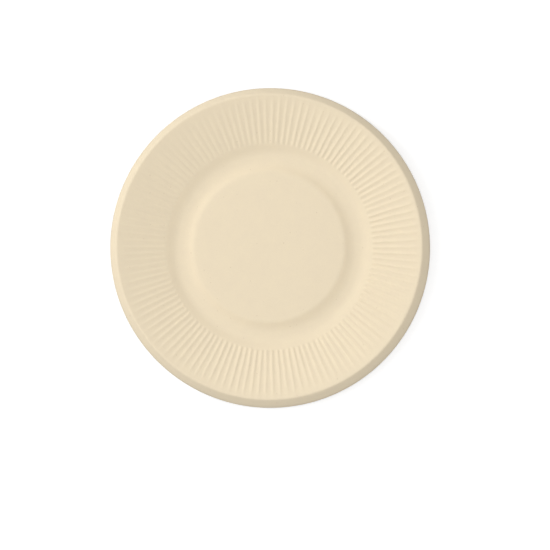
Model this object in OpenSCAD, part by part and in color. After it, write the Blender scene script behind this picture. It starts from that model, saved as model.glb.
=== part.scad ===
// Round paper plate pressed from one sheet, with a raised middle, a fluted rim and a turned-down lip.
// It lies with its eating side up. The origin is under the centre of the cut edge, on the plane it stands on.

/* [Plate] */
// Diameter over the cut edge
plate_d = 229; // [200:1:300]
// Thickness of the pressed sheet
sheet_t = 0.6; // [0.4:0.05:1]

/* [Well] */
// Height of the raised middle above the standing ring
middle_h = 2.4; // [1:0.1:3.5]
// Width of the step from the raised middle down to the standing ring
step_w = 10.6; // [8:0.1:14]
// Share of the step's width that the bend at the edge of the middle takes
step_edge_share = 0.35; // [0.2:0.05:0.8]
// Width of the level ring that the plate stands on
foot_w = 2.2; // [2:0.1:6]
// Width of the plain shoulder between the standing ring and the flutes
shoulder_w = 7.9; // [7:0.1:12]
// Slope of the shoulder in degrees
shoulder_slope = 25; // [20:1:35]
// Radius of the bend from the standing ring into the shoulder
shoulder_bend_r = 13; // [6:1:16]

/* [Fluted rim] */
// Slope of the rim in degrees
rim_slope = 16; // [8:0.5:18]
// Width of the fluted band, seen from above
flute_w = 34.4; // [20:0.1:40]
// Number of flutes in a turn
flute_n = 126; // [80:2:140]
// Depth of a flute at its inner end, from ridge to groove
flute_depth = 0.7; // [0.3:0.05:1.6]
// Depth of a flute where it begins to fade into the border
flute_depth_out = 0.5; // [0.2:0.05:1.4]
// Width over which the shoulder bends back to the rim's slope and the flutes rise out of it
flute_rise = 2.2; // [1:0.1:5]
// Width over which the flutes fade into the border
flute_fade = 5; // [2:0.5:10]

/* [Lip] */
// Width of the smooth border between the flutes and the crest
border_w = 0.7; // [0.5:0.1:6]
// Mean width of the lip from the crest to the cut edge
lip_w = 6; // [4.5:0.1:8]
// Slope of the lip in degrees
lip_slope = 48; // [25:1:60]
// Radius of the bend from the crest into the lip
lip_bend_r = 1.4; // [1:0.1:4]
// How far the blank was cut off centre towards +X, which widens the lip there
cut_shift_x = 0.8; // [-1.5:0.1:1.5]
// How far the blank was cut off centre towards +Y
cut_shift_y = -1; // [-1.5:0.1:1.5]

/* [Hidden] */

// Where the columns of a flute stand in its wave, in degrees from the ridge
flute_phases = [30, 150, 210, 330];
// Columns in a turn: of the fluted rings, of the plain ones beside them and of the well
flute_cols = len(flute_phases) * flute_n;
plain_cols = flute_n;
well_cols = flute_n / 2;
// Straight pieces that stand for each bend of the section
step_bend_n = 3;
shoulder_bend_n = 4;
border_bend_n = 2;
lip_bend_n = 3;

// The section runs outwards along the middle of the sheet, as a chain of [radius, height, slope] stations.
// Each bend or run starts at the last station of the one before it, so the sheet has no kinks.
function end(chain) = chain[len(chain) - 1];

// Stations along an arc from a station's slope to another slope. A positive bend radius curves upwards.
function bend(from, bend_r, slope, n) = [
    for (i = [1:n]) let (a = from[2] + (slope - from[2]) * i / n)
    [from[0] + bend_r * (sin(a) - sin(from[2])), from[1] + bend_r * (cos(from[2]) - cos(a)), a]
];

// Station at the end of a straight run of a given width
function run(from, w) = [from[0] + w, from[1] + w * tan(from[2]), from[2]];

// The step is two bends in opposite ways, which meet at its steepest slope.
step_slope = 2 * atan2(middle_h, step_w);
step_edge_r = step_edge_share * step_w / sin(step_slope);
step_foot_r = (1 - step_edge_share) * step_w / sin(step_slope);
// The bend into the shoulder is never wider than the shoulder.
shoulder_r = min(shoulder_bend_r, shoulder_w / sin(shoulder_slope));
rim_r = flute_rise / (sin(shoulder_slope) - sin(rim_slope));
border_r = border_w / sin(rim_slope);

// The middle is what the other widths leave of the plate, whose outermost point is the lip's upper corner.
middle_r = plate_d / 2 - sheet_t / 2 * sin(lip_slope)
    - lip_w - border_w - flute_w - shoulder_w - foot_w - step_w;

middle_edge = [middle_r, sheet_t / 2 + middle_h, 0];
step_top = bend(middle_edge, -step_edge_r, -step_slope, step_bend_n);
step_foot = bend(end(step_top), step_foot_r, 0, step_bend_n);
foot_edge = run(end(step_foot), foot_w);
shoulder_low = bend(foot_edge, shoulder_r, shoulder_slope, shoulder_bend_n);
shoulder_top = run(end(shoulder_low), shoulder_w - shoulder_r * sin(shoulder_slope));
flute_start = end(bend(shoulder_top, -rim_r, rim_slope, 1));
fade_start = run(flute_start, flute_w - flute_rise - flute_fade);
flute_end = run(fade_start, flute_fade);
border = bend(flute_end, -border_r, 0, border_bend_n);
lip_bend = bend(end(border), -lip_bend_r, -lip_slope, lip_bend_n);
lip_edge = run(end(lip_bend), lip_w - lip_bend_r * sin(lip_slope));

// A ring is [station, columns, flute depth, share of the cut's shift].
function rings(stations, cols) = [for (s = stations) [s, cols, 0, 0]];
sheet_rings = concat(
    rings(concat([middle_edge], step_top, step_foot, [foot_edge], shoulder_low), well_cols),
    rings([shoulder_top], plain_cols),
    [[flute_start, flute_cols, flute_depth, 0], [fade_start, flute_cols, flute_depth_out, 0]],
    rings(concat([flute_end], border, lip_bend), plain_cols),
    [[lip_edge, plain_cols, 0, 1]]
);

// Points of a ring on one face of the sheet: side is 1 for the eating side and -1 for the underside.
// Towards the cut's shift the lip runs on down its own slope, and on the far side it stops short.
function ring_points(ring, side) =
    let (
        s = ring[0],
        r = s[0] - side * sheet_t / 2 * sin(s[2]),
        z = s[1] + side * sheet_t / 2 * cos(s[2]),
        angles = ring[1] == flute_cols
            ? [for (i = [0:flute_n - 1], phase = flute_phases) (360 * i + phase) / flute_n]
            : [for (j = [0:ring[1] - 1]) 360 * j / ring[1]]
    )
    [for (a = angles) let (
        cut = ring[3] * (cut_shift_x * cos(a) + cut_shift_y * sin(a)),
        flute = ring[2] / 2 * cos(flute_n * a)
    ) [(r + cut) * cos(a), (r + cut) * sin(a), z + cut * tan(s[2]) + flute]];

// Triangles between two neighbouring rings. One has a whole number of columns for each of the other's.
function band(start_a, cols_a, start_b, cols_b) =
    cols_a > cols_b
    ? [for (t = band(start_b, cols_b, start_a, cols_a)) [t[0], t[2], t[1]]]
    : let (k = cols_b / cols_a, half = ceil(k / 2))
    [for (i = [0:cols_a - 1]) let (near = start_a + i, next = start_a + (i + 1) % cols_a) each concat(
        [[near, next, start_b + (k * i + half) % cols_b]],
        [for (j = [0:k - 1])
            [j < half ? near : next, start_b + (k * i + j + 1) % cols_b, start_b + k * i + j]]
    )];

// The plate as one closed skin: out along the eating side, over the cut edge and back along the underside
module plate() {
    there = [for (ring = sheet_rings) [ring, 1]];
    back = [for (i = [len(sheet_rings) - 1:-1:0]) [sheet_rings[i], -1]];
    skin = concat(there, back);
    starts = [for (i = 0, n = 0; i < len(skin); n = n + skin[i][0][1], i = i + 1) n];
    points = [for (ring = skin) each ring_points(ring[0], ring[1])];
    bands = [for (i = [0:len(skin) - 2])
        each band(starts[i], skin[i][0][1], starts[i + 1], skin[i + 1][0][1])];
    middle_top = [for (j = [well_cols - 1:-1:0]) j];
    middle_under = [for (j = [0:well_cols - 1]) starts[len(skin) - 1] + j];
    color("#EAD9B9")
    translate([-cut_shift_x, -cut_shift_y, 0])
        polyhedron(points, concat([middle_top], bands, [middle_under]));
}

plate();
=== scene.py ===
# Round pressed paper plate with a fluted rim, seen from straight above.
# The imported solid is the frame, and a finer sheet of the same form stands for it here.
import math

import bpy
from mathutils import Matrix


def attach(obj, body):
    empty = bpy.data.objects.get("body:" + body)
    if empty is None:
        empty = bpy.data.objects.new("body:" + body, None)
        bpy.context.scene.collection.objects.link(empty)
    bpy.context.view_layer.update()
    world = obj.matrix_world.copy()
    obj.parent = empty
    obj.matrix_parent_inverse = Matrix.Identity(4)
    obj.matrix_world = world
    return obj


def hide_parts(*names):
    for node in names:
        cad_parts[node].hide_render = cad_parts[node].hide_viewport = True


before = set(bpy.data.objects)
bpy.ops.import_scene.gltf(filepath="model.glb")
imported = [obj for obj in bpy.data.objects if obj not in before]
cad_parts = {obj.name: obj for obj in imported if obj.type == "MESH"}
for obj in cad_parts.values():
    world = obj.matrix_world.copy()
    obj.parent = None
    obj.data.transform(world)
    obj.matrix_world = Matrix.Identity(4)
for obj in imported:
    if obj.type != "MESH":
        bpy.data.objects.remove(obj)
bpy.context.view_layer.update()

MM = 0.001

# Sizes of the plate, the same ones as in the part's source
PLATE_D = 229 * MM
SHEET_T = 0.6 * MM
MIDDLE_H = 2.4 * MM
STEP_W = 10.6 * MM
STEP_EDGE_SHARE = 0.35
FOOT_W = 2.2 * MM
SHOULDER_W = 7.9 * MM
SHOULDER_SLOPE = math.radians(25)
SHOULDER_BEND_R = 13 * MM
RIM_SLOPE = math.radians(16)
FLUTE_W = 34.4 * MM
FLUTE_N = 126
FLUTE_DEPTH = 0.7 * MM
FLUTE_DEPTH_OUT = 0.5 * MM
FLUTE_RISE = 2.2 * MM
FLUTE_FADE = 5 * MM
BORDER_W = 0.7 * MM
LIP_W = 6 * MM
LIP_SLOPE = math.radians(48)
LIP_BEND_R = 1.4 * MM
CUT_SHIFT = (0.8 * MM, -1 * MM, 0)

# Columns of the sheet's mesh across each flute, and how near two of its points are when they become one
FLUTE_COLUMNS = 8
WELD = 0.001 * MM
# Steps of the mesh along each stretch of the section, on the eating side and on the underside
EATING_STEPS = dict(middle=5, step_edge=5, step_foot=6, foot=1, shoulder_bend=6, shoulder=2,
                    rim_bend=5, flutes=7, fade=5, border=3, lip_bend=5, lip=3)
UNDER_STEPS = dict(middle=3, step_edge=3, step_foot=4, foot=1, shoulder_bend=4, shoulder=1,
                   rim_bend=4, flutes=5, fade=4, border=2, lip_bend=3, lip=2)
# The cut edge is square with worn corners. From the eating side to the underside, each of its points
# has the distance that it is worn back and its place across the sheet, from 1 to -1.
CUT_EDGE = ((0.1 * MM, 1), (0.02 * MM, 0.75), (0, 0), (0.02 * MM, -0.75), (0.1 * MM, -1))

# How much narrower the ridges are than the grooves at their outer end, from 0 for an even wave
RIDGE_SHARPNESS = 0.45
# How much the ridges differ from one another, as a share of their height
FLUTE_UNEVENNESS = 0.25
# How far an uneven ridge stands askew, as a share of its unevenness and of the distance to the next one
RIDGE_ASKEW = 0.4
# How far a ridge wanders sideways on its way out, as a share of the distance to the next one
FLUTE_WANDER = 0.4
# How far past the shoulder the flutes show first
FLUTE_DELAY = 0.6 * MM
# The side that was pressed firmest, and how much shallower and sooner faded the flutes are across from it
FIRM_SIDE = math.radians(-20)
DEPTH_SKEW = 0.5
FADE_SKEW = 0.5
# Mean width of the fade against the source's, and how much it differs from ridge to ridge
FADE_MEAN = 1.1
FADE_UNEVENNESS = 0.25
# How much wider the fade is in the few places where the flutes stop short of the border
EARLY_FADE = 1.2
# How far the rim wanders up and down from its true form
RIM_WARP = 0.12 * MM
# Depth of the faint pleats that run on from the flutes over the crest and die out on the lip
PLEAT_DEPTH = 0.07 * MM

# Seed of all that chance sets, and what is added to it for each thing that is drawn flute by flute
SEED = 367
DRAWS = dict(height=1, askew=2, fade=3)
# How far apart in the noise two seeds lie, and two neighbouring flutes
SEED_STEP = 1.7
FLUTE_STEP = 3.7
# Scales of the noise round the turn, for the places of an early fade and for the rim's wander
EARLY_SCALE = 2.4
WARP_SCALE = 1.1
# Scale of the noise along a ridge, per metre
WANDER_SCALE = 160
# Where in the noise an early fade begins and where it is full
EARLY_FROM = 0.5
EARLY_FULL = 0.8
# Noise mostly stays within a quarter of its middle, so this factor takes it to about -1 to 1.
NOISE_SPREAD = 4

# Scales of the patterns in the paper, per metre
CLOUD_SCALE = 130
MOTTLE_SCALE = 700
PULP_SCALE = 2600
FIBRE_SCALE = 3200
SPECK_SCALE = 210
# How much longer than wide a fibre is, how much it curls, and where in its noise it begins and is full
FIBRE_STRETCH = 9
FIBRE_CURL = 0.6
FIBRE_FROM = 0.6
FIBRE_FULL = 0.76
# Direction in degrees and shift of each layer of fibres
FIBRE_LAYERS = ((8, (0, 0, 0)), (67, (0.3, 0.1, 0)), (128, (0.1, 0.4, 0)))
# Two close tints that the clouds mix, and the colour of a speck
PAPER_TINTS = ((0.816, 0.698, 0.517, 1), (0.812, 0.700, 0.508, 1))
SPECK_COLOUR = (0.42, 0.29, 0.16, 1)
# Share of the cells without a speck, how fast specks grow past it, their soft edge and their strength
SPECKLESS = 0.9
SPECK_GROWTH = 0.8
SPECK_BLUR = 0.02
SPECK_STRENGTH = 0.25
# Roughness and gloss of plain paper, and how strongly its relief shows and how deep it is
ROUGHNESS = 0.86
GLOSS = 0.25
RELIEF_STRENGTH = 0.5
RELIEF_DEPTH = 0.06 * MM
# What each pattern adds to the paper's lightness, to its roughness and to its relief. The ridge's share of
# lightness is painted highlight on the ridge tops and painted shade in the grooves.
LIGHTENING = dict(cloud=0.05, mottle=0.035, pulp=0.03, fibre=0.02, ridge=0.02)
ROUGHENING = dict(mottle=0.12, ridge=-0.03)
RELIEF = dict(pulp=0.5, mottle=0.8, fibre=0.35)

# Level of the room, then each lamp's name, azimuth and elevation in degrees, width in metres and level
ROOM_LEVEL = 0.3
LAMPS = (
    ("overhead_lamp", 0, 90, 0.5, 0.57),
    ("window_lamp", 180, 42, 0.7, 0.12),
    ("raking_lamp", 150, 15.5, 0.3, 0.29),
)
LAMP_DISTANCE = 1.5


# Node trees

class Value:
    """A socket of a node tree. Python's operators on it add Math nodes to the tree."""

    def __init__(self, tree, socket):
        self.tree = tree
        self.socket = socket

    def math(self, operation, *others, first=None):
        """The Math node of that operation on this value and others"""
        terms = (self if first is None else first, *others)
        return self.tree.add("ShaderNodeMath", {"operation": operation}, dict(enumerate(terms)))

    def clamped(self):
        """This value held between 0 and 1"""
        return self.math("MAXIMUM", 0).math("MINIMUM", 1)

    def __add__(self, other):
        return self.math("ADD", other)

    __radd__ = __add__

    def __sub__(self, other):
        return self.math("SUBTRACT", other)

    def __rsub__(self, other):
        return self.math("SUBTRACT", self, first=other)

    def __mul__(self, other):
        return self.math("MULTIPLY", other)

    __rmul__ = __mul__

    def __truediv__(self, other):
        return self.math("DIVIDE", other)

    def __rtruediv__(self, other):
        return self.math("DIVIDE", self, first=other)

    def __mod__(self, other):
        return self.math("FLOORED_MODULO", other)


class Tree:
    """A node tree that is built with calls"""

    def __init__(self, nodes, links):
        self.nodes = nodes
        self.links = links

    @staticmethod
    def socket(sockets, key):
        """The usable socket of that name or place in the list"""
        usable = [s for s in sockets if s.enabled]
        return usable[key] if isinstance(key, int) else next(s for s in usable if s.name == key)

    def add(self, kind, settings=None, inputs=None, take=0):
        """Adds a node, sets it, then fills its sockets with values or links. Gives one of its outputs."""
        node = self.nodes.new(kind)
        for name, setting in (settings or {}).items():
            setattr(node, name, setting)
        for key, value in (inputs or {}).items():
            socket = self.socket(node.inputs, key)
            if isinstance(value, Value):
                self.links.new(value.socket, socket)
            else:
                socket.default_value = value
        return Value(self, self.socket(node.outputs, take)) if node.outputs else None

    def smooth_range(self, value, start, full, low=0, high=1):
        """Low up to the start, high from the full value on and a smooth rise between them"""
        return self.add("ShaderNodeMapRange", {"interpolation_type": "SMOOTHSTEP"}, {
            "Value": value, "From Min": start, "From Max": full, "To Min": low, "To Max": high})

    def noise(self, vector, scale, detail, roughness=0.5, distortion=0):
        """Noise from 0 to 1, most of it within a quarter of its middle"""
        return self.add("ShaderNodeTexNoise", {}, {
            "Vector": vector, "Scale": scale, "Detail": detail,
            "Roughness": roughness, "Distortion": distortion}, "Fac")


# Section of the sheet

def smooth(x):
    """0 below 0, 1 above 1 and a smooth rise between them"""
    x = min(max(x, 0), 1)
    return x * x * (3 - 2 * x)


def bend(chain, radius, slope, steps):
    """Adds an arc from the last station's slope to another slope. A positive radius curves upwards."""
    r, z, first = chain[-1]
    for step in range(1, steps + 1):
        a = first + (slope - first) * step / steps
        out = radius * (math.sin(a) - math.sin(first))
        up = radius * (math.cos(first) - math.cos(a))
        chain.append((r + out, z + up, a))


def run(chain, width, steps):
    """Adds a straight run of that width at the last station's slope."""
    r, z, slope = chain[-1]
    for step in range(1, steps + 1):
        out = width * step / steps
        chain.append((r + out, z + out * math.tan(slope), slope))


def sheet_middle(steps):
    """Stations of radius, height and slope along the middle of the sheet, from the axis to the cut edge.
    Gives also the radii at which the flutes and the lip's straight part begin."""
    step_slope = 2 * math.atan2(MIDDLE_H, STEP_W)
    step_arc = STEP_W / math.sin(step_slope)
    shoulder_r = min(SHOULDER_BEND_R, SHOULDER_W / math.sin(SHOULDER_SLOPE))
    rim_r = FLUTE_RISE / (math.sin(SHOULDER_SLOPE) - math.sin(RIM_SLOPE))
    widths = LIP_W + BORDER_W + FLUTE_W + SHOULDER_W + FOOT_W + STEP_W
    middle_r = PLATE_D / 2 - SHEET_T / 2 * math.sin(LIP_SLOPE) - widths

    chain = [(0, SHEET_T / 2 + MIDDLE_H, 0)]
    run(chain, middle_r, steps["middle"])
    bend(chain, -STEP_EDGE_SHARE * step_arc, -step_slope, steps["step_edge"])
    bend(chain, (1 - STEP_EDGE_SHARE) * step_arc, 0, steps["step_foot"])
    run(chain, FOOT_W, steps["foot"])
    bend(chain, shoulder_r, SHOULDER_SLOPE, steps["shoulder_bend"])
    run(chain, SHOULDER_W - shoulder_r * math.sin(SHOULDER_SLOPE), steps["shoulder"])
    flutes_from = chain[-1][0]
    bend(chain, -rim_r, RIM_SLOPE, steps["rim_bend"])
    run(chain, FLUTE_W - FLUTE_RISE - FLUTE_FADE, steps["flutes"])
    run(chain, FLUTE_FADE, steps["fade"])
    bend(chain, -BORDER_W / math.sin(RIM_SLOPE), 0, steps["border"])
    bend(chain, -LIP_BEND_R, -LIP_SLOPE, steps["lip_bend"])
    lip_from = chain[-1][0]
    run(chain, LIP_W - LIP_BEND_R * math.sin(LIP_SLOPE), steps["lip"])
    return chain, flutes_from, lip_from


def skin_point(station, inset, lift, flutes_from, lip_from):
    """A point of the skin at a station, set back from the cut edge by the inset and lifted off the middle
    of the sheet, by 1 to the eating side and by -1 to the underside.
    Gives its radius, height, flute depth, pleat depth and share of the cut's shift."""
    r, z, slope = station
    rise = smooth((r - flutes_from - FLUTE_DELAY) / (FLUTE_RISE - FLUTE_DELAY))
    along = (r - flutes_from - FLUTE_RISE) / (FLUTE_W - FLUTE_RISE - FLUTE_FADE)
    depth = FLUTE_DEPTH + (FLUTE_DEPTH_OUT - FLUTE_DEPTH) * min(max(along, 0), 1)
    lip_run = LIP_W - LIP_BEND_R * math.sin(LIP_SLOPE)
    cut = min(max((r - lip_from) / lip_run, 0), 1)
    pleat = PLEAT_DEPTH * (1 - smooth(cut))
    out = r - inset * math.cos(slope) - lift * SHEET_T / 2 * math.sin(slope)
    up = z - inset * math.sin(slope) + lift * SHEET_T / 2 * math.cos(slope)
    return out, up, rise * depth, rise * pleat, cut


def section_points():
    """Points of the closed skin, out along the eating side, over the cut edge and back underneath"""
    chain, *starts = sheet_middle(EATING_STEPS)
    points = [skin_point(station, 0, 1, *starts) for station in chain[:-1]]
    points += [skin_point(chain[-1], worn, place, *starts) for worn, place in CUT_EDGE]
    chain, *starts = sheet_middle(UNDER_STEPS)
    points += [skin_point(station, 0, -1, *starts) for station in chain[-2::-1]]
    return points


# Paper

def fibres(tree, place, turn, shift):
    """Short streaks in one direction"""
    turned = tree.add("ShaderNodeMapping", {"vector_type": "TEXTURE"}, {
        "Vector": place, "Location": shift, "Rotation": (0, 0, math.radians(turn)),
        "Scale": (FIBRE_STRETCH, 1, 1)})
    streak = tree.noise(turned, FIBRE_SCALE, detail=1, distortion=FIBRE_CURL)
    return tree.smooth_range(streak, FIBRE_FROM, FIBRE_FULL)


def specks(tree, place):
    """1 on a speck and 0 beside it. Specks are drawn on the plan, so that the thin sheet cuts each one
    through the middle."""
    plan = tree.add("ShaderNodeVectorMath", {"operation": "MULTIPLY"}, {0: place, 1: (1, 1, 0)})
    cells = tree.add("ShaderNodeTexVoronoi", {"voronoi_dimensions": "2D"}, {
        "Vector": plan, "Scale": SPECK_SCALE}, "Distance")
    cell_colour = Value(tree, Tree.socket(cells.socket.node.outputs, "Color"))
    chance = tree.add("ShaderNodeSeparateColor", {}, {"Color": cell_colour}, "Red")
    size = (chance - SPECKLESS).math("MAXIMUM", 0) * SPECK_GROWTH
    shown = 1 - tree.smooth_range(cells - size, 0, SPECK_BLUR)
    return shown * chance.math("GREATER_THAN", SPECKLESS)


def paper_finish():
    """Uncoated pressed paper with cloudy pulp, short fibres and a few specks, with painted highlight on
    the ridge tops, painted shade in the grooves and slightly smoother ridges
    """
    material = bpy.data.materials.new("pressed_paper")
    material.use_nodes = True
    tree = Tree(material.node_tree.nodes, material.node_tree.links)
    shader = tree.nodes["Principled BSDF"]
    place = tree.add("ShaderNodeTexCoord", take="Object")

    streaks = fibres(tree, place, *FIBRE_LAYERS[0])
    for turn, shift in FIBRE_LAYERS[1:]:
        streaks = streaks.math("MAXIMUM", fibres(tree, place, turn, shift))
    cloud = tree.noise(place, CLOUD_SCALE, detail=3, roughness=0.55)
    patterns = {
        "cloud": cloud - 0.5,
        "mottle": tree.noise(place, MOTTLE_SCALE, detail=3, roughness=0.6) - 0.5,
        "pulp": tree.noise(place, PULP_SCALE, detail=2, roughness=0.6) - 0.5,
        "fibre": streaks,
        # 1 on a ridge top and -1 in a groove: paints highlight on the ridges and shade in the grooves
        "ridge": tree.add("ShaderNodeAttribute", {"attribute_name": "ridge"}, take="Fac"),
    }

    def mixed(shares, start=0):
        """The start and the given share of each pattern, added up"""
        return sum((patterns[name] * share for name, share in shares.items()), start)

    tint = tree.add("ShaderNodeMix", {"data_type": "RGBA", "blend_type": "MIX"}, {
        "Factor": cloud, "A": PAPER_TINTS[0], "B": PAPER_TINTS[1]})
    toned = tree.add("ShaderNodeVectorMath", {"operation": "SCALE"}, {
        0: tint, "Scale": mixed(LIGHTENING, 1)})
    colour = tree.add("ShaderNodeMix", {"data_type": "RGBA", "blend_type": "MIX"}, {
        "Factor": specks(tree, place) * SPECK_STRENGTH, "A": toned, "B": SPECK_COLOUR})
    relief = tree.add("ShaderNodeBump", {}, {
        "Strength": RELIEF_STRENGTH, "Distance": RELIEF_DEPTH, "Height": mixed(RELIEF)})
    rough = mixed(ROUGHENING, ROUGHNESS)
    for name, value in (("Base Color", colour), ("Roughness", rough), ("Normal", relief)):
        tree.links.new(value.socket, shader.inputs[name])
    shader.inputs["Specular IOR Level"].default_value = GLOSS
    return material


# Sheet

def sheet_inputs(paper):
    """Inputs of the sheet's node group by name, each with its kind and its value"""
    flutes_from = sheet_middle(EATING_STEPS)[1]
    return {
        "Flutes": ("Int", FLUTE_N),
        "Columns per flute": ("Int", FLUTE_COLUMNS),
        "Cut shift": ("Vector", CUT_SHIFT),
        "Lip slope": ("Float", LIP_SLOPE),
        "Sharpness": ("Float", RIDGE_SHARPNESS),
        "Unevenness": ("Float", FLUTE_UNEVENNESS),
        "Wander": ("Float", FLUTE_WANDER),
        "Rim warp": ("Float", RIM_WARP),
        "Flutes from": ("Float", flutes_from),
        "Flutes to": ("Float", flutes_from + FLUTE_W),
        "Fade": ("Float", FLUTE_FADE),
        "Fade skew": ("Float", FADE_SKEW),
        "Early fade": ("Float", EARLY_FADE),
        "Firm side": ("Float", FIRM_SIDE),
        "Depth skew": ("Float", DEPTH_SKEW),
        "Full depth": ("Float", FLUTE_DEPTH),
        "Seed": ("Int", SEED),
        "Paper": ("Material", paper),
    }


def sheet_tree(inputs):
    """Geometry nodes that turn the section about the axis and press the flutes into it"""
    group = bpy.data.node_groups.new("pressed sheet", "GeometryNodeTree")
    group.is_modifier = True
    group.interface.new_socket("Geometry", in_out="INPUT", socket_type="NodeSocketGeometry")
    for name, (kind, _) in inputs.items():
        group.interface.new_socket(name, in_out="INPUT", socket_type="NodeSocket" + kind)
    group.interface.new_socket("Geometry", in_out="OUTPUT", socket_type="NodeSocketGeometry")
    tree = Tree(group.nodes, group.links)
    entry = group.nodes.new("NodeGroupInput")
    given = {s.name: Value(tree, s) for s in entry.outputs if s.name}

    # One row of the grid for each point of the section, and one column more than the turn has
    section = given["Geometry"]
    columns = given["Flutes"] * given["Columns per flute"]
    grid = tree.add("GeometryNodeMeshGrid", {}, {
        "Size X": 1, "Size Y": 1, "Vertices Y": columns + 1,
        "Vertices X": tree.add("GeometryNodeAttributeDomainSize", {}, {0: section}, "Point Count")})
    index = tree.add("GeometryNodeInputIndex")
    row = (index / (columns + 1)).math("FLOOR")
    column = index - row * (columns + 1)
    turn = column / columns * math.tau

    def sampled(kind, value):
        return tree.add("GeometryNodeSampleIndex", {"data_type": kind, "domain": "POINT"}, {
            "Geometry": section, "Value": value, "Index": row})

    def named(name):
        return tree.add("GeometryNodeInputNamedAttribute", {"data_type": "FLOAT"}, {"Name": name})

    def by_flute(what):
        """A number from -1 to 1 that is the same all along a flute"""
        return tree.add("FunctionNodeRandomValue", {"data_type": "FLOAT"}, {
            "Min": -1, "Max": 1, "ID": flute, "Seed": given["Seed"] + DRAWS[what]})

    point = sampled("FLOAT_VECTOR", tree.add("GeometryNodeInputPosition"))
    radius = tree.add("ShaderNodeSeparateXYZ", {}, {0: point}, "X")
    height = tree.add("ShaderNodeSeparateXYZ", {}, {0: point}, "Z")
    whole_depth = sampled("FLOAT", named("flute_depth"))
    pleats = sampled("FLOAT", named("pleat_depth"))
    share = sampled("FLOAT", named("cut_share"))

    # The wave runs round the turn with a ridge at each whole flute, and its ridges get sharper outwards.
    flute = (column / given["Columns per flute"] + 0.5).math("FLOOR") % given["Flutes"]
    phase = column / given["Columns per flute"] * math.tau
    wave = phase.math("COSINE")
    crest = (wave + 1) / 2
    band = given["Flutes to"] - given["Flutes from"]
    outwards = ((radius - given["Flutes from"]) / band).clamped()
    pressing = wave + given["Sharpness"] * outwards * (phase * 2).math("COSINE")

    # The flutes fade into the border at slightly different places, run out furthest on the firm side
    # and stop short in a few spots.
    across = tree.add("ShaderNodeCombineXYZ", {}, {
        0: turn.math("COSINE"), 1: turn.math("SINE"), 2: given["Seed"] * SEED_STEP})
    firmness = (turn - given["Firm side"]).math("COSINE")
    short = tree.smooth_range(tree.noise(across, EARLY_SCALE, detail=0), EARLY_FROM, EARLY_FULL)
    width = given["Fade"] * (FADE_MEAN - given["Fade skew"] * firmness)
    width = width * (1 + given["Early fade"] * short)
    width = width * (1 + FADE_UNEVENNESS * crest * by_flute("fade"))
    fade = ((given["Flutes to"] - radius) / width).clamped()
    press = 1 - given["Depth skew"] * (1 - firmness) / 2
    depth = (whole_depth * press * fade).math("MAXIMUM", pleats)

    # Ridges are a little higher, lower or askew, and the grooves between them keep their depth.
    uneven = given["Unevenness"] * crest
    lift = depth / 2 * (pressing + uneven * by_flute("height"))
    pitch = math.tau / given["Flutes"]
    pressed = (depth / given["Full depth"]).math("MINIMUM", 1)
    path = tree.add("ShaderNodeCombineXYZ", {}, {
        0: radius * WANDER_SCALE, 1: flute * FLUTE_STEP, 2: given["Seed"]})
    wander = given["Wander"] * crest * (tree.noise(path, 1, detail=1) - 0.5)
    askew = uneven * by_flute("askew") * RIDGE_ASKEW
    angle = turn + pressed * pitch * (askew + wander)

    # The rim wanders slowly up and down round the turn, more so towards the edge.
    reach = tree.smooth_range(radius, given["Flutes from"], PLATE_D / 2)
    slow = tree.noise(across, WARP_SCALE, detail=1) - 0.5
    warp = slow * NOISE_SPREAD * given["Rim warp"] * reach

    # Towards the cut's shift the lip runs on down its own slope, and on the far side it stops short.
    shift_x = tree.add("ShaderNodeSeparateXYZ", {}, {0: given["Cut shift"]}, "X")
    shift_y = tree.add("ShaderNodeSeparateXYZ", {}, {0: given["Cut shift"]}, "Y")
    cut = share * (shift_x * angle.math("COSINE") + shift_y * angle.math("SINE"))
    out = radius + cut
    up = height - cut * given["Lip slope"].math("TANGENT") + lift + warp
    spot = tree.add("ShaderNodeCombineXYZ", {}, {
        0: out * angle.math("COSINE") - shift_x, 1: out * angle.math("SINE") - shift_y, 2: up})

    sheet = tree.add("GeometryNodeSetPosition", {}, {"Geometry": grid, "Position": spot})
    # The ridge attribute, 1 on a ridge top and -1 in a groove, carries the paper's painted highlight on
    # the ridges and painted shade in the grooves.
    sheet = tree.add("GeometryNodeStoreNamedAttribute", {"data_type": "FLOAT", "domain": "POINT"}, {
        "Geometry": sheet, "Name": "ridge", "Value": pressed * wave})
    sheet = tree.add("GeometryNodeMergeByDistance", {}, {"Geometry": sheet, "Distance": WELD})
    sheet = tree.add("GeometryNodeSetShadeSmooth", {}, {"Geometry": sheet})
    sheet = tree.add("GeometryNodeRealizeInstances", {}, {"Geometry": sheet})
    sheet = tree.add("GeometryNodeSetMaterial", {}, {"Geometry": sheet, "Material": given["Paper"]})
    tree.add("NodeGroupOutput", {}, {"Geometry": sheet})
    return group


def pressed_sheet(paper):
    """The plate as one closed mesh"""
    points = section_points()
    mesh = bpy.data.meshes.new("sheet_section")
    mesh.from_pydata([(r, 0, z) for r, z, *_ in points], [], [])
    for name, place in (("flute_depth", 2), ("pleat_depth", 3), ("cut_share", 4)):
        layer = mesh.attributes.new(name, "FLOAT", "POINT")
        layer.data.foreach_set("value", [point[place] for point in points])
    plate = bpy.data.objects.new("pressed_plate", mesh)
    bpy.context.scene.collection.objects.link(plate)

    inputs = sheet_inputs(paper)
    group = sheet_tree(inputs)
    modifier = plate.modifiers.new("pressed sheet", "NODES")
    modifier.node_group = group
    for item in group.interface.items_tree:
        if item.in_out == "INPUT" and item.name in inputs:
            modifier[item.identifier] = inputs[item.name][1]
    view = bpy.context.evaluated_depsgraph_get()
    finished = bpy.data.meshes.new_from_object(plate.evaluated_get(view))
    plate.modifiers.remove(modifier)
    plate.data = finished
    bpy.data.meshes.remove(mesh)
    finished.name = "pressed_plate"
    return plate


# Studio

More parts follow.
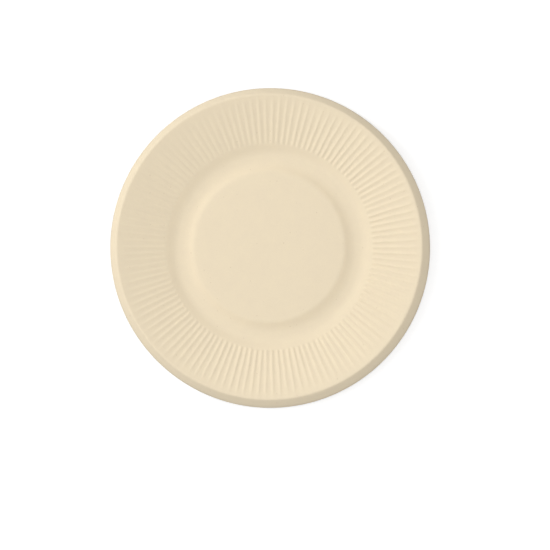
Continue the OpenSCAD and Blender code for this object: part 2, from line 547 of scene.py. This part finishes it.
def seen_directly(tree):
    """1 where the camera, a gloss or a clear piece shows the surface, and 0 where it only lights others"""
    seen = tree.add("ShaderNodeLightPath", take="Is Camera Ray")
    outputs = seen.socket.node.outputs
    for name in ("Is Glossy Ray", "Is Transmission Ray"):
        seen = seen.math("MAXIMUM", Value(tree, Tree.socket(outputs, name)))
    return seen


def white_floor():
    """Floor that shows white in the picture, where the plate doesn't shade it"""
    # Half the width of the floor, and how far it lies under the plate
    half = 3
    drop = 0.2 * MM
    # Where the floor only lights others it is grey. Where it is seen it is white and glows a little.
    unseen_grey = 0.8
    near_glow = 0.14
    # Far from the plate it glows as white as the room, so that a low view doesn't show its end.
    glow_from = 0.25
    glow_full = 1.2

    mesh = bpy.data.meshes.new("floor")
    corners = [(-half, -half), (half, -half), (half, half), (-half, half)]
    mesh.from_pydata([(x, y, -drop) for x, y in corners], [], [(0, 1, 2, 3)])
    floor = bpy.data.objects.new("floor", mesh)
    bpy.context.scene.collection.objects.link(floor)
    material = bpy.data.materials.new("white_floor")
    material.use_nodes = True
    tree = Tree(material.node_tree.nodes, material.node_tree.links)
    shader = tree.nodes["Principled BSDF"]

    def grey(level):
        return tree.add("ShaderNodeCombineColor", {}, {0: level, 1: level, 2: level}).socket

    seen = seen_directly(tree)
    place = tree.add("ShaderNodeTexCoord", take="Object")
    away = tree.add("ShaderNodeVectorMath", {"operation": "LENGTH"}, {0: place}, "Value")
    glow = tree.smooth_range(away, glow_from, glow_full, near_glow, 1)
    tree.links.new(grey(unseen_grey + seen * (1 - unseen_grey)), shader.inputs["Base Color"])
    tree.links.new(grey(glow), shader.inputs["Emission Color"])
    tree.links.new(seen.socket, shader.inputs["Emission Strength"])
    shader.inputs["Roughness"].default_value = 1
    shader.inputs["Specular IOR Level"].default_value = 0
    mesh.materials.append(material)
    return floor


def studio_room(level):
    """An even white room, which shows as full white itself"""
    world = bpy.data.worlds.new("studio")
    bpy.context.scene.world = world
    world.use_nodes = True
    tree = Tree(world.node_tree.nodes, world.node_tree.links)
    strength = level + seen_directly(tree) * (1 - level)
    background = tree.nodes["Background"]
    background.inputs["Color"].default_value = (1, 1, 1, 1)
    tree.links.new(strength.socket, background.inputs["Strength"])


def soft_lamp(name, azimuth, elevation, size, level):
    """A round lamp that faces the plate. Level 1 alone would show white paper as white."""
    azimuth = math.radians(azimuth)
    elevation = math.radians(elevation)
    lamp = bpy.data.lights.new(name, "AREA")
    lamp.shape = "DISK"
    lamp.size = size
    lamp.energy = level * math.pi ** 2 * LAMP_DISTANCE ** 2
    holder = bpy.data.objects.new(name, lamp)
    bpy.context.scene.collection.objects.link(holder)
    holder.location = (
        LAMP_DISTANCE * math.cos(elevation) * math.cos(azimuth),
        LAMP_DISTANCE * math.cos(elevation) * math.sin(azimuth),
        LAMP_DISTANCE * math.sin(elevation))
    holder.rotation_euler = (math.pi / 2 - elevation, 0, azimuth + math.pi / 2)
    holder.visible_camera = False


def overhead_camera():
    """A camera straight above the middle of the cut edge, with the plate where the photo has it"""
    # The photo's side, and the cut edge's radius and middle in it, all in pixels
    side = 550
    plate_px = 160.3
    centre_x = 269.85
    centre_y = 247.7
    # A pixel's number stands for its middle, half a pixel on from its corner.
    half_px = 0.5
    # Height of the cut edge, and of the camera above it
    edge_z = 9 * MM
    above = 0.86
    # Width of the sensor in millimetres
    sensor = 36

    camera = bpy.data.cameras.new("overhead")
    camera.sensor_width = sensor
    camera.lens = plate_px * above / (PLATE_D / 2) * sensor / side
    camera.shift_x = (side / 2 - (centre_x + half_px)) / side
    camera.shift_y = ((centre_y + half_px) - side / 2) / side
    camera_object = bpy.data.objects.new("overhead", camera)
    bpy.context.scene.collection.objects.link(camera_object)
    camera_object.location = (0, 0, above + edge_z)
    bpy.context.scene.camera = camera_object


plate = pressed_sheet(paper_finish())
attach(plate, "root")
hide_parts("plate")
white_floor()
studio_room(ROOM_LEVEL)
for lamp in LAMPS:
    soft_lamp(*lamp)
overhead_camera()
bpy.context.scene.view_settings.view_transform = "Standard"
